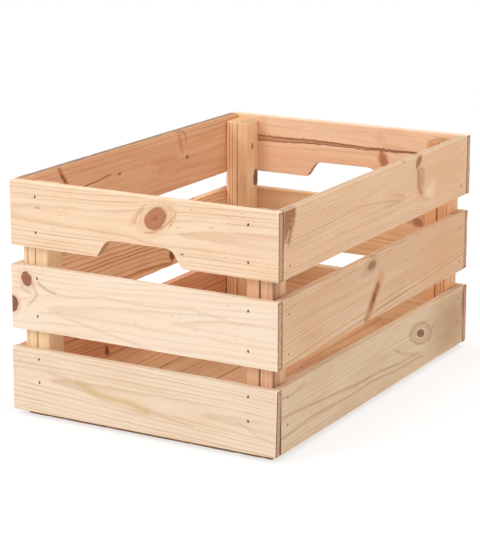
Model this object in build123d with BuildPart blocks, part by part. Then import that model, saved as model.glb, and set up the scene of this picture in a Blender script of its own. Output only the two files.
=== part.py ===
from build123d import *
import os

# Slatted pine crate: two end panels and two side panels of three boards each,
# nailed to battens in the corners, over a floor of lengthwise boards on cleats.
# Millimetres. +Z is up, the origin is on the ground under the crate's centre,
# X runs across the crate and Y along it. The front end panel is at -Y.

# ---- overall size ----
WIDTH = 310.0            # X, over the side boards
LENGTH = 460.0           # Y, over the end boards
HEIGHT = 250.0           # Z, ground to rim

# ---- wall boards ----
BOARD_T = 9.0            # thickness of every wall board
BOARD_W = 68.0           # width (height on the wall) of every wall board
BOARD_GAP = 20.0         # open gap between two wall boards
WALL_LIFT = 6.0          # the walls start this far above the ground
ARRIS = 0.5              # eased long edges

# ---- hand grip, a notch in the lower edge of the two top end boards ----
GRIP_MOUTH = 99.0        # width at the board's lower edge
GRIP_TOP = 75.0          # width of the flat, before its corners are rounded
GRIP_H = 18.5            # height of the notch
GRIP_R = 14.0            # radius of its two upper corners

# ---- corner battens, two side by side in each corner ----
BATTEN_X = 15.0          # size across the crate
BATTEN_Y = 27.0          # size along the crate
BATTEN_DROP = 5.0        # top of the battens below the rim
BATTEN_ARRIS = 0.9       # chamfer on the battens' long edges

# ---- floor ----
CLEAT_T = 12.0           # thickness of the cross cleats
CLEAT_W = 34.0           # their width along the crate
FLOOR_T = 9.0            # thickness of the floor boards
FLOOR_W = 72.0           # width of each floor board
FLOOR_SEAM = 1.0         # open seam between floor boards
FIT = 0.5                # clearance from the floor to the walls

# ---- brads ----
BRAD_R = 0.8             # shank radius
BRAD_HEAD_R = 1.4        # head radius
BRAD_HEAD_H = 0.8        # head height
BRAD_SINK = 0.4          # head set below the wood
BRAD_L = 20.0            # point below the wood's face, wall brads
FLOOR_BRAD_L = 18.0      # the same, floor brads
BRAD_TIP = 2.0           # length of the point

# ---- countersunk wood screws ----
SCREW_R = 1.75           # shank radius
SCREW_HEAD_R = 3.75      # head radius
SCREW_SINK = 1.0         # head set below the wood
SCREW_L = 25.0           # point below the wood's face, corner screws
FLOOR_SCREW_L = 40.0     # the same, floor screws
SCREW_TIP = 4.0          # length of the point
RECESS_W = 1.0           # width of each arm of the cross recess
RECESS_L = 3.8           # length of each arm
RECESS_D = 1.4           # depth of the recess
CORNER_SCREW_Z = (50.0, 214.0)

# ---- derived places ----
HALF_X = WIDTH / 2
HALF_Y = LENGTH / 2
IN_X = HALF_X - BOARD_T                  # inner face of the side boards
IN_Y = HALF_Y - BOARD_T                  # inner face of the end boards
FLOOR_TOP = CLEAT_T + FLOOR_T
BATTEN_TOP = HEIGHT - BATTEN_DROP
SIDE_BATTEN_X = IN_X - BATTEN_X / 2      # centre of a side-panel batten
END_BATTEN_X = IN_X - 1.5 * BATTEN_X     # centre of an end-panel batten
BATTEN_MID_Y = IN_Y - BATTEN_Y / 2       # centre of all corner battens
BATTEN_INNER_X = IN_X - 2 * BATTEN_X     # open face of an end-panel batten

ROW_Z = {
    "bottom": WALL_LIFT,
    "middle": WALL_LIFT + BOARD_W + BOARD_GAP,
    "top": WALL_LIFT + 2 * (BOARD_W + BOARD_GAP),
}
# Two brads at each end of a board, as heights above the board's lower edge.
BRAD_Z_END = {
    "bottom": (33.0, 58.0),
    "middle": (16.0, 56.0),
    "top": (16.0, 53.0),
}
BRAD_Z_SIDE = {
    "bottom": (28.0, 56.0),
    "middle": (12.0, 52.0),
    "top": (12.0, 49.0),
}

os.makedirs("parts", exist_ok=True)


def brad_planes(face):
    """Planes on one wall's outer face, one for each brad, facing outwards."""
    found = []
    for row, z0 in ROW_Z.items():
        for height in (BRAD_Z_END if face in ("front", "back") else BRAD_Z_SIDE)[row]:
            for s in (-1, 1):
                if face in ("front", "back"):
                    y = -HALF_Y if face == "front" else HALF_Y
                    out = -1 if face == "front" else 1
                    found.append((row, s, Plane(origin=(s * END_BATTEN_X, y, z0 + height), z_dir=(0, out, 0))))
                else:
                    x = -HALF_X if face == "left" else HALF_X
                    out = -1 if face == "left" else 1
                    found.append((row, s, Plane(origin=(x, s * BATTEN_MID_Y, z0 + height), z_dir=(out, 0, 0))))
    return found


def corner_screw_planes(sx, sy):
    """Planes on the open face of an end-panel batten, facing the crate's middle."""
    return [Plane(origin=(sx * BATTEN_INNER_X, sy * BATTEN_MID_Y, z), z_dir=(-sx, 0, 0)) for z in CORNER_SCREW_Z]


def floor_screw_plane(sx, sy):
    """Plane on the underside of a cleat, below an end-panel batten."""
    return Plane(origin=(sx * END_BATTEN_X, sy * (BATTEN_MID_Y - 2.5), 0), z_dir=(0, 0, -1))


# ---- side boards: they stand between the end boards ----
for side, sx in (("left", -1), ("right", 1)):
    for row, z0 in ROW_Z.items():
        with BuildPart() as side_board:
            with BuildSketch(Plane.YZ.offset(IN_X if sx > 0 else -HALF_X)):
                with Locations((0, z0 + BOARD_W / 2)):
                    Rectangle(2 * IN_Y, BOARD_W)
            extrude(amount=BOARD_T)
            chamfer(side_board.edges().filter_by(Axis.Y), ARRIS)
            with Locations(*[p for r, s, p in brad_planes(side) if r == row]):
                CounterBoreHole(radius=BRAD_R, counter_bore_radius=BRAD_HEAD_R,
                                counter_bore_depth=BRAD_SINK + BRAD_HEAD_H, depth=BOARD_T)
        side_board.part.label = f"{side}_{row}_board"
        export_step(side_board.part, f"parts/{side}_{row}_board.step")

# ---- end boards: they run the crate's full width and cover the side boards' ends ----
for end, sy in (("front", -1), ("back", 1)):
    for row, z0 in ROW_Z.items():
        with BuildPart() as end_board:
            with BuildSketch(Plane.XZ.offset(HALF_Y if sy < 0 else -IN_Y)) as outline:
                if row == "top":
                    with BuildLine():
                        Polyline(
                            (-HALF_X, z0), (-GRIP_MOUTH / 2, z0), (-GRIP_TOP / 2, z0 + GRIP_H),
                            (GRIP_TOP / 2, z0 + GRIP_H), (GRIP_MOUTH / 2, z0), (HALF_X, z0),
                            (HALF_X, z0 + BOARD_W), (-HALF_X, z0 + BOARD_W), close=True)
                    make_face()
                    fillet([v for v in outline.vertices()
                            if abs(abs(v.X) - GRIP_TOP / 2) < 0.1 and abs(v.Y - z0 - GRIP_H) < 0.1], GRIP_R)
                else:
                    with Locations((0, z0 + BOARD_W / 2)):
                        Rectangle(WIDTH, BOARD_W)
            extrude(amount=-BOARD_T)
            chamfer(end_board.edges().filter_by(Axis.X).group_by(Axis.Z)[-1], ARRIS)
            if row != "top":
                chamfer(end_board.edges().filter_by(Axis.X).group_by(Axis.Z)[0], ARRIS)
            with Locations(*[p for r, s, p in brad_planes(end) if r == row]):
                CounterBoreHole(radius=BRAD_R, counter_bore_radius=BRAD_HEAD_R,
                                counter_bore_depth=BRAD_SINK + BRAD_HEAD_H, depth=BOARD_T)
        end_board.part.label = f"{end}_{row}_board"
        export_step(end_board.part, f"parts/{end}_{row}_board.step")

# ---- corner battens: they stand on the floor boards ----
for end, sy in (("front", -1), ("back", 1)):
    for side, sx in (("left", -1), ("right", 1)):
        with BuildPart() as end_batten:
            with BuildSketch(Plane.XY.offset(FLOOR_TOP)):
                with Locations((sx * END_BATTEN_X, sy * BATTEN_MID_Y)):
                    Rectangle(BATTEN_X, BATTEN_Y)
            extrude(amount=BATTEN_TOP - FLOOR_TOP)
            chamfer(end_batten.edges().filter_by(Axis.Z), BATTEN_ARRIS)
            # brad holes, from the face that carries the end boards
            with Locations(*[p.offset(-BOARD_T) for r, s, p in brad_planes(end) if s == sx]):
                Hole(radius=BRAD_R, depth=BRAD_L - BOARD_T)
            # sunk screw holes, from the open face right through
            with Locations(*corner_screw_planes(sx, sy)):
                Hole(radius=SCREW_R, depth=BATTEN_X)
                Cylinder(SCREW_HEAD_R, SCREW_SINK, align=(Align.CENTER, Align.CENTER, Align.MAX), mode=Mode.SUBTRACT)
            with Locations(*[p.offset(-SCREW_SINK) for p in corner_screw_planes(sx, sy)]):
                Cone(SCREW_R, SCREW_HEAD_R, SCREW_HEAD_R - SCREW_R,
                     align=(Align.CENTER, Align.CENTER, Align.MAX), mode=Mode.SUBTRACT)
            # floor screw, up through the floor into the batten's foot
            with Locations(floor_screw_plane(sx, sy).offset(-FLOOR_TOP)):
                Hole(radius=SCREW_R, depth=FLOOR_SCREW_L - FLOOR_TOP)
        end_batten.part.label = f"{end}_{side}_end_batten"
        export_step(end_batten.part, f"parts/{end}_{side}_end_batten.step")

        with BuildPart() as side_batten:
            with BuildSketch(Plane.XY.offset(FLOOR_TOP)):
                with Locations((sx * SIDE_BATTEN_X, sy * BATTEN_MID_Y)):
                    Rectangle(BATTEN_X, BATTEN_Y)
            extrude(amount=BATTEN_TOP - FLOOR_TOP)
            chamfer(side_batten.edges().filter_by(Axis.Z), BATTEN_ARRIS)
            # brad holes, from the face that carries the side boards
            with Locations(*[p.offset(-BOARD_T) for r, s, p in brad_planes(side) if s == sy]):
                Hole(radius=BRAD_R, depth=BRAD_L - BOARD_T)
            # the corner screws bite into this batten
            with Locations(*[p.offset(-BATTEN_X) for p in corner_screw_planes(sx, sy)]):
                Hole(radius=SCREW_R, depth=SCREW_L - BATTEN_X)
        side_batten.part.label = f"{end}_{side}_side_batten"
        export_step(side_batten.part, f"parts/{end}_{side}_side_batten.step")

# ---- floor: four lengthwise boards on three cross cleats ----
CLEAT_Y = {
    "front": -(IN_Y - FIT - CLEAT_W / 2),
    "middle": 0.0,
    "back": IN_Y - FIT - CLEAT_W / 2,
}
FLOOR_X = {
    "left_outer": -1.5 * (FLOOR_W + FLOOR_SEAM),
    "left_inner": -0.5 * (FLOOR_W + FLOOR_SEAM),
    "right_inner": 0.5 * (FLOOR_W + FLOOR_SEAM),
    "right_outer": 1.5 * (FLOOR_W + FLOOR_SEAM),
}
FLOOR_BRAD_DX = 25.0     # brads this far each side of a floor board's middle
FLOOR_SPAN = 4 * FLOOR_W + 3 * FLOOR_SEAM

for place, y in CLEAT_Y.items():
    with BuildPart() as cleat:
        with BuildSketch():
            with Locations((0, y)):
                Rectangle(FLOOR_SPAN, CLEAT_W)
        extrude(amount=CLEAT_T)
        chamfer(cleat.edges().filter_by(Axis.X), ARRIS)
        with Locations(*[Plane(origin=(x + s * FLOOR_BRAD_DX, y, CLEAT_T)) for x in FLOOR_X.values() for s in (-1, 1)]):
            Hole(radius=BRAD_R, depth=FLOOR_BRAD_L - FLOOR_T)
        if place != "middle":
            sy = -1 if place == "front" else 1
            with Locations(*[floor_screw_plane(sx, sy) for sx in (-1, 1)]):
                Hole(radius=SCREW_R, depth=CLEAT_T)
                Cylinder(SCREW_HEAD_R, SCREW_SINK, align=(Align.CENTER, Align.CENTER, Align.MAX), mode=Mode.SUBTRACT)
            with Locations(*[floor_screw_plane(sx, sy).offset(-SCREW_SINK) for sx in (-1, 1)]):
                Cone(SCREW_R, SCREW_HEAD_R, SCREW_HEAD_R - SCREW_R,
                     align=(Align.CENTER, Align.CENTER, Align.MAX), mode=Mode.SUBTRACT)
    cleat.part.label = f"floor_cleat_{place}"
    export_step(cleat.part, f"parts/floor_cleat_{place}.step")

for place, x in FLOOR_X.items():
    with BuildPart() as floor_board:
        with BuildSketch(Plane.XY.offset(CLEAT_T)):
            with Locations((x, 0)):
                Rectangle(FLOOR_W, 2 * (IN_Y - FIT))
        extrude(amount=FLOOR_T)
        chamfer(floor_board.edges().filter_by(Axis.Y), ARRIS)
        with Locations(*[Plane(origin=(x + s * FLOOR_BRAD_DX, y, FLOOR_TOP)) for y in CLEAT_Y.values() for s in (-1, 1)]):
            CounterBoreHole(radius=BRAD_R, counter_bore_radius=BRAD_HEAD_R,
                            counter_bore_depth=BRAD_SINK + BRAD_HEAD_H, depth=FLOOR_T)
        if place.endswith("outer"):
            sx = -1 if x < 0 else 1
            with Locations(*[floor_screw_plane(sx, sy).offset(-CLEAT_T) for sy in (-1, 1)]):
                Hole(radius=SCREW_R, depth=FLOOR_T)
    floor_board.part.label = f"floor_board_{place}"
    export_step(floor_board.part, f"parts/floor_board_{place}.step")

# ---- brads: one group of separate solids for each panel ----
for face in ("front", "back", "left", "right"):
    planes = [p for r, s, p in brad_planes(face)]
    with BuildPart() as wall_brads:
        with Locations(*[p.offset(-BRAD_SINK) for p in planes]):
            Cylinder(BRAD_HEAD_R, BRAD_HEAD_H, align=(Align.CENTER, Align.CENTER, Align.MAX))
        with Locations(*[p.offset(-BRAD_SINK - BRAD_HEAD_H) for p in planes]):
            Cylinder(BRAD_R, BRAD_L - BRAD_SINK - BRAD_HEAD_H - BRAD_TIP,
                     align=(Align.CENTER, Align.CENTER, Align.MAX))
        with Locations(*[p.offset(-BRAD_L + BRAD_TIP) for p in planes]):
            Cone(0.15, BRAD_R, BRAD_TIP, align=(Align.CENTER, Align.CENTER, Align.MAX))
    wall_brads.part.label = f"{face}_panel_nails"
    export_step(wall_brads.part, f"parts/{face}_panel_nails.step")

floor_planes = [Plane(origin=(x + s * FLOOR_BRAD_DX, y, FLOOR_TOP))
                for x in FLOOR_X.values() for y in CLEAT_Y.values() for s in (-1, 1)]
with BuildPart() as floor_nails:
    with Locations(*[p.offset(-BRAD_SINK) for p in floor_planes]):
        Cylinder(BRAD_HEAD_R, BRAD_HEAD_H, align=(Align.CENTER, Align.CENTER, Align.MAX))
    with Locations(*[p.offset(-BRAD_SINK - BRAD_HEAD_H) for p in floor_planes]):
        Cylinder(BRAD_R, FLOOR_BRAD_L - BRAD_SINK - BRAD_HEAD_H - BRAD_TIP,
                 align=(Align.CENTER, Align.CENTER, Align.MAX))
    with Locations(*[p.offset(-FLOOR_BRAD_L + BRAD_TIP) for p in floor_planes]):
        Cone(0.15, BRAD_R, BRAD_TIP, align=(Align.CENTER, Align.CENTER, Align.MAX))
floor_nails.part.label = "floor_nails"
export_step(floor_nails.part, "parts/floor_nails.step")

# ---- screws, with a cross recess in each head ----
screw_planes = [p for sx in (-1, 1) for sy in (-1, 1) for p in corner_screw_planes(sx, sy)]
with BuildPart() as corner_screws:
    with Locations(*[p.offset(-SCREW_SINK) for p in screw_planes]):
        Cone(SCREW_R, SCREW_HEAD_R, SCREW_HEAD_R - SCREW_R, align=(Align.CENTER, Align.CENTER, Align.MAX))
    with Locations(*[p.offset(-SCREW_SINK - SCREW_HEAD_R + SCREW_R) for p in screw_planes]):
        Cylinder(SCREW_R, SCREW_L - SCREW_SINK - SCREW_HEAD_R + SCREW_R - SCREW_TIP,
                 align=(Align.CENTER, Align.CENTER, Align.MAX))
    with Locations(*[p.offset(-SCREW_L + SCREW_TIP) for p in screw_planes]):
        Cone(0.3, SCREW_R, SCREW_TIP, align=(Align.CENTER, Align.CENTER, Align.MAX))
    with Locations(*[p.offset(-SCREW_SINK) for p in screw_planes]):
        Box(RECESS_L, RECESS_W, RECESS_D, align=(Align.CENTER, Align.CENTER, Align.MAX), mode=Mode.SUBTRACT)
        Box(RECESS_W, RECESS_L, RECESS_D, align=(Align.CENTER, Align.CENTER, Align.MAX), mode=Mode.SUBTRACT)
corner_screws.part.label = "corner_screws"
export_step(corner_screws.part, "parts/corner_screws.step")

under_planes = [floor_screw_plane(sx, sy) for sx in (-1, 1) for sy in (-1, 1)]
with BuildPart() as floor_screws:
    with Locations(*[p.offset(-SCREW_SINK) for p in under_planes]):
        Cone(SCREW_R, SCREW_HEAD_R, SCREW_HEAD_R - SCREW_R, align=(Align.CENTER, Align.CENTER, Align.MAX))
    with Locations(*[p.offset(-SCREW_SINK - SCREW_HEAD_R + SCREW_R) for p in under_planes]):
        Cylinder(SCREW_R, FLOOR_SCREW_L - SCREW_SINK - SCREW_HEAD_R + SCREW_R - SCREW_TIP,
                 align=(Align.CENTER, Align.CENTER, Align.MAX))
    with Locations(*[p.offset(-FLOOR_SCREW_L + SCREW_TIP) for p in under_planes]):
        Cone(0.3, SCREW_R, SCREW_TIP, align=(Align.CENTER, Align.CENTER, Align.MAX))
    with Locations(*[p.offset(-SCREW_SINK) for p in under_planes]):
        Box(RECESS_L, RECESS_W, RECESS_D, align=(Align.CENTER, Align.CENTER, Align.MAX), mode=Mode.SUBTRACT)
        Box(RECESS_W, RECESS_L, RECESS_D, align=(Align.CENTER, Align.CENTER, Align.MAX), mode=Mode.SUBTRACT)
floor_screws.part.label = "floor_screws"
export_step(floor_screws.part, "parts/floor_screws.step")
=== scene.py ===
import math
import random

import bpy
import numpy as np
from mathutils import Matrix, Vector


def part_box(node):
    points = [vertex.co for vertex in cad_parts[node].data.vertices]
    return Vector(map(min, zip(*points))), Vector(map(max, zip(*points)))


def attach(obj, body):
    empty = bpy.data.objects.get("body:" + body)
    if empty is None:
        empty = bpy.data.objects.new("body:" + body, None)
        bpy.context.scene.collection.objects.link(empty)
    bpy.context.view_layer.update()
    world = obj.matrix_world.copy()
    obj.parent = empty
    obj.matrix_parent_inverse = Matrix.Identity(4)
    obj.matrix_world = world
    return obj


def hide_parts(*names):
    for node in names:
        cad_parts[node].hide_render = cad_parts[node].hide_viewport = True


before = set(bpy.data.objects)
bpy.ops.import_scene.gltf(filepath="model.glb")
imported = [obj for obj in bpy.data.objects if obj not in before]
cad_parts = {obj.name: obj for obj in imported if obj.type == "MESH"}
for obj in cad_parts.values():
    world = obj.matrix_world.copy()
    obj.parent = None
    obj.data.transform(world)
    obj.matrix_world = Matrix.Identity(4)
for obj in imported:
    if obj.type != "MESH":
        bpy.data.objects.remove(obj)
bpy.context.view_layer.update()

MM = 0.001
X, Y, Z = np.array((1.0, 0, 0)), np.array((0, 1.0, 0)), np.array((0, 0, 1.0))


# --------------------------------------------------------------------------
# smooth value noise in numpy, for the meshes
# --------------------------------------------------------------------------
def _hash(ix, iy, iz, seed):
    h = (ix.astype(np.int64) * 374761393 + iy.astype(np.int64) * 668265263
         + iz.astype(np.int64) * 2147483647 + int(seed) * 1274126177) & 0xFFFFFFFF
    h = ((h ^ (h >> 13)) * 1274126177) & 0xFFFFFFFF
    h = (h ^ (h >> 16)) & 0xFFFFFFFF
    return h / 4294967295.0 * 2.0 - 1.0


def vnoise(x, y, z, seed=0):
    """Value noise from -1 to 1 at float arrays x, y, z."""
    x, y, z = np.broadcast_arrays(np.asarray(x, float), np.asarray(y, float), np.asarray(z, float))
    ix, iy, iz = np.floor(x), np.floor(y), np.floor(z)
    fx, fy, fz = x - ix, y - iy, z - iz
    fx, fy, fz = (f * f * (3 - 2 * f) for f in (fx, fy, fz))
    total = 0
    for dx in (0, 1):
        for dy in (0, 1):
            for dz in (0, 1):
                wx = fx if dx else 1 - fx
                wy = fy if dy else 1 - fy
                wz = fz if dz else 1 - fz
                total = total + wx * wy * wz * _hash(ix + dx, iy + dy, iz + dz, seed)
    return total


def smooth(a, b, x):
    t = np.clip((x - a) / (b - a), 0, 1)
    return t * t * (3 - 2 * t)


# --------------------------------------------------------------------------
# boards: a lattice over a rounded box, with worn arrises, planing waves,
# nail pits, grooves and a shaped lower edge
# --------------------------------------------------------------------------
NAIL_OFFSETS = (0, .32, .64, .92, 1.14, 1.36, 1.6, 1.95, 2.5, 3.3)


def lines(length, step, r, fine=()):
    keep = []
    for k in (0, .22 * r, .5 * r, .78 * r, r, 1.7 * r):
        keep += [k, length - k]
    for c, offsets in fine:
        keep += [c + o for o in offsets]
    keep = sorted(k for k in keep if 0 <= k <= length)
    kept = [0.0]
    for k in keep[1:]:
        if k - kept[-1] > 0.12:
            kept.append(k)
    kept[-1] = length
    n = max(2, int(round(length / step)))
    ka = np.array(kept)
    base = [length * i / n for i in range(n + 1)]
    return np.array(sorted(kept + [b for b in base if np.min(np.abs(ka - b)) > 0.42 * step]))


def both(offsets):
    return sorted(set([-o for o in offsets] + list(offsets)))


class Place:
    """A piece's own axes: s along the grain, t across it, w through it, from a corner, in mm."""

    def __init__(self, origin, es, et, ew, size):
        self.o, self.es, self.et, self.ew, self.size = np.array(origin, float), es, et, ew, size
        assert np.dot(np.cross(es, et), ew) > 0.99

    def world(self, p):
        return (self.o + p[:, :1] * self.es + p[:, 1:2] * self.et + p[:, 2:3] * self.ew) * MM

    @property
    def centre(self):
        L, W, T = self.size
        return self.o + L / 2 * self.es + W / 2 * self.et + T / 2 * self.ew


def board_mesh(name, place, seed, r0=1.0, step=3.0, nails=(), lower=None, s_fine=(), t_fine=(), w_step=1.6,
               wave=0.06, cup=0.0, wear=1.0, grooves=(), chips=(), wane=None, end_gap=0.25, sides=0.0, ends=(0, 0), lean=0.0, bow=(0, 0)):
    L, W, T = place.size
    S = lines(L, step, r0, [(c[0], both(NAIL_OFFSETS)) for c in nails] + list(s_fine))
    Tt = lines(W, step, r0, [(c[1], both(NAIL_OFFSETS)) for c in nails] + list(t_fine))
    Ww = lines(T, w_step, r0)
    ns, nt, nw = len(S), len(Tt), len(Ww)
    surf = np.zeros((ns, nt, nw), bool)
    surf[[0, -1]] = True
    surf[:, [0, -1]] = True
    surf[:, :, [0, -1]] = True
    idx = -np.ones(surf.shape, np.int64)
    idx[surf] = np.arange(surf.sum())
    i, j, k = np.nonzero(surf)
    p = np.stack([S[i], Tt[j], Ww[k]], 1)

    def quads(a):
        return np.stack([a[:-1, :-1], a[1:, :-1], a[1:, 1:], a[:-1, 1:]], -1).reshape(-1, 4)

    faces = np.concatenate([
        quads(idx[:, :, -1]), quads(idx[:, :, 0])[:, ::-1],
        quads(idx[:, -1, :].T), quads(idx[:, 0, :].T)[:, ::-1],
        quads(idx[-1]), quads(idx[0])[:, ::-1]])

    size = np.array([L, W, T])
    edge = np.sort(np.minimum(p, size - p), 1)[:, 1]
    # worn arris radius: uneven along the length, with a few larger knocks
    q4 = (p[:, 1] > W / 2) * 2 + (p[:, 2] > T / 2) * 1
    r = r0 * (1 + 0.35 * vnoise(p[:, 0] / 23, q4 * 7.3, 0 * p[:, 0], seed) + 0.25 * vnoise(p[:, 0] / 5.5, q4 * 3.1, 0 * p[:, 0], seed + 1))
    knock = np.clip(vnoise(p[:, 0] / 9.0, q4 * 5.7, p[:, 1] * 0.02, seed + 2) - 0.62, 0, 1) * 4.0
    r = np.clip(r + knock * wear, 0.3, min(2.2, T * 0.35))
    for (cs, ct, cw, cr, half) in chips:
        near = np.exp(-(((p[:, 0] - cs) / half) ** 2) - ((p[:, 1] - ct) / 9.0) ** 2 - ((p[:, 2] - cw) / 6.0) ** 2)
        r = np.minimum(r + cr * near, T * 0.42)
    q = np.minimum(np.maximum(p, r[:, None]), size - r[:, None])
    d = p - q
    n = d / np.maximum(np.linalg.norm(d, axis=1), 1e-9)[:, None]
    pos = q + n * r[:, None]
    # planing waves and slow unevenness
    side = np.where(n[:, 2] > 0, 1, -1)
    dz = wave * vnoise(p[:, 0] / 38, p[:, 1] / 30, side * 3.7, seed + 3)
    dz = dz + 0.4 * wave * vnoise(p[:, 0] / 11, p[:, 1] / 5, side * 2.1, seed + 4)
    face = smooth(0.5, 0.95, np.abs(n[:, 2]))
    disp = dz * face
    # saw marks across the end grain
    sawn = smooth(0.6, 0.95, np.abs(n[:, 0]))
    disp = disp + sawn * (0.10 * vnoise(p[:, 1] / 2.1, p[:, 2] / 7, 0 * p[:, 0], seed + 5) - 0.08)
    narrow = smooth(0.6, 0.95, np.abs(n[:, 1]))
    disp = disp + narrow * 0.05 * vnoise(p[:, 0] / 17, p[:, 2] / 6, 0 * p[:, 0], seed + 6)
    mark = np.zeros(len(p))
    top = (n[:, 2] > 0.5)
    for (cs, ct) in nails:
        a, b = 0.95, 1.7
        turn = vnoise(cs * 0.37, ct * 0.53, 0.0, seed + 7) * 0.35
        du = (p[:, 0] - cs) * math.cos(turn) + (p[:, 1] - ct) * math.sin(turn)
        dv = -(p[:, 0] - cs) * math.sin(turn) + (p[:, 1] - ct) * math.cos(turn)
        e = np.sqrt((du / b) ** 2 + (dv / a) ** 2) if place.nail_along else np.sqrt((du / a) ** 2 + (dv / b) ** 2)
        hole = (1 - smooth(0.72, 1.06, e)) * top
        disp = disp - 1.15 * hole - 0.10 * np.exp(-((e - 1.2) / 0.5) ** 2) * top
        mark = np.maximum(mark, np.maximum(hole, 0.30 * np.exp(-np.clip(e - 1, 0, 9) / 0.5) * top))
    for g in grooves:
        line = g["t"] + g.get("slope", 0) * (p[:, 0] - L / 2) + g["amp"] * vnoise(p[:, 0] / g["wave"], 0 * p[:, 0], 0 * p[:, 0], seed + g["seed"]) \
            + 0.4 * g["amp"] * vnoise(p[:, 0] / (g["wave"] * 0.27), 0 * p[:, 0], 0 * p[:, 0], seed + g["seed"] + 1)
        half = g["half"] * (0.75 + 0.5 * vnoise(p[:, 0] / 14, 0 * p[:, 0], 0 * p[:, 0], seed + g["seed"] + 2))
        window = smooth(g["s0"] - 6, g["s0"] + g.get("fade", 10), p[:, 0]) * (1 - smooth(g["s1"] - g.get("fade", 10), g["s1"] + 6, p[:, 0]))
        half = half * (0.25 + 0.75 * window)
        side_ok = (n[:, 2] * g["side"] > 0.5)
        dist = np.abs(p[:, 1] - line) / np.maximum(half, 0.05)
        cut = (1 - smooth(0.45, 1.15, dist)) * window * side_ok
        disp = disp - g["depth"] * cut
        lip = np.exp(-((dist - 1.3) / 0.5) ** 2) * window * side_ok
        disp = disp + 0.12 * lip
        mark = np.maximum(mark, cut * g.get("dark", 1.0))
    pos = pos + n * disp[:, None]
    # the piece is a hair short of its CAD solid, so that joints show as fine dark lines
    if end_gap:
        pos[:, 0] = pos[:, 0] + (0.5 - pos[:, 0] / L) * 2 * end_gap
    if sides:
        pos[:, 1] = pos[:, 1] + (0.5 - pos[:, 1] / W) * 2 * sides
    if cup:
        pos[:, 2] = pos[:, 2] + cup * ((pos[:, 1] / W - 0.5) ** 2 * 4 - 0.5)
    if wane is not None:
        pos = wane(pos, p)
    if lower is not None:
        # only the lower half of the lattice is squeezed by the notch
        low, tb = lower(pos[:, 0]), 38.0
        pos[:, 1] = np.where(pos[:, 1] < tb, low + pos[:, 1] * (tb - low) / tb, pos[:, 1])
    if ends != (0, 0):
        # boards cut a hair long or short, moved near their ends only
        s0 = pos[:, 0].copy()
        pos[:, 0] = s0 - ends[0] * (1 - smooth(0, 22, s0)) + ends[1] * smooth(L - 22, L, s0)
    if lean:
        # the far end is not quite square
        pos[:, 0] = pos[:, 0] + lean * smooth(L - 22, L, p[:, 0]) * (p[:, 1] / W - 0.5)
    if bow != (0, 0):
        # a board that springs a little off its battens at its ends
        pos[:, 2] = pos[:, 2] + bow[0] * (1 - smooth(0, 150, p[:, 0])) + bow[1] * smooth(L - 150, L, p[:, 0])
    me = bpy.data.meshes.new(name)
    co = place.world(pos).astype(np.float32)
    me.vertices.add(len(co))
    me.vertices.foreach_set("co", co.ravel())
    me.loops.add(faces.size)
    me.polygons.add(len(faces))
    me.loops.foreach_set("vertex_index", faces.ravel().astype(np.int32))
    me.polygons.foreach_set("loop_start", (np.arange(len(faces)) * 4).astype(np.int32))
    me.polygons.foreach_set("loop_total", np.full(len(faces), 4, np.int32))
    me.update(calc_edges=True)
    me.validate()
    for attr, values in (("edge", edge), ("mark", mark)):
        a = me.attributes.new(attr, "FLOAT", "POINT")
        a.data.foreach_set("value", np.asarray(values, np.float32))
    me.polygons.foreach_set("use_smooth", np.ones(len(faces), bool))
    ob = bpy.data.objects.new(name, me)
    bpy.context.scene.collection.objects.link(ob)
    return ob


# --------------------------------------------------------------------------
# node expressions
# --------------------------------------------------------------------------
class Ex:
    """A shader socket that takes part in Python arithmetic."""

    def __init__(self, graph, sock):
        self.g, self.s = graph, sock

    def __add__(self, o): return self.g.m("ADD", self, o)
    def __radd__(self, o): return self.g.m("ADD", o, self)
    def __sub__(self, o): return self.g.m("SUBTRACT", self, o)
    def __rsub__(self, o): return self.g.m("SUBTRACT", o, self)
    def __mul__(self, o): return self.g.m("MULTIPLY", self, o)
    def __rmul__(self, o): return self.g.m("MULTIPLY", o, self)
    def __truediv__(self, o): return self.g.m("DIVIDE", self, o)
    def __rtruediv__(self, o): return self.g.m("DIVIDE", o, self)
    def __neg__(self): return self.g.m("MULTIPLY", self, -1.0)


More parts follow.
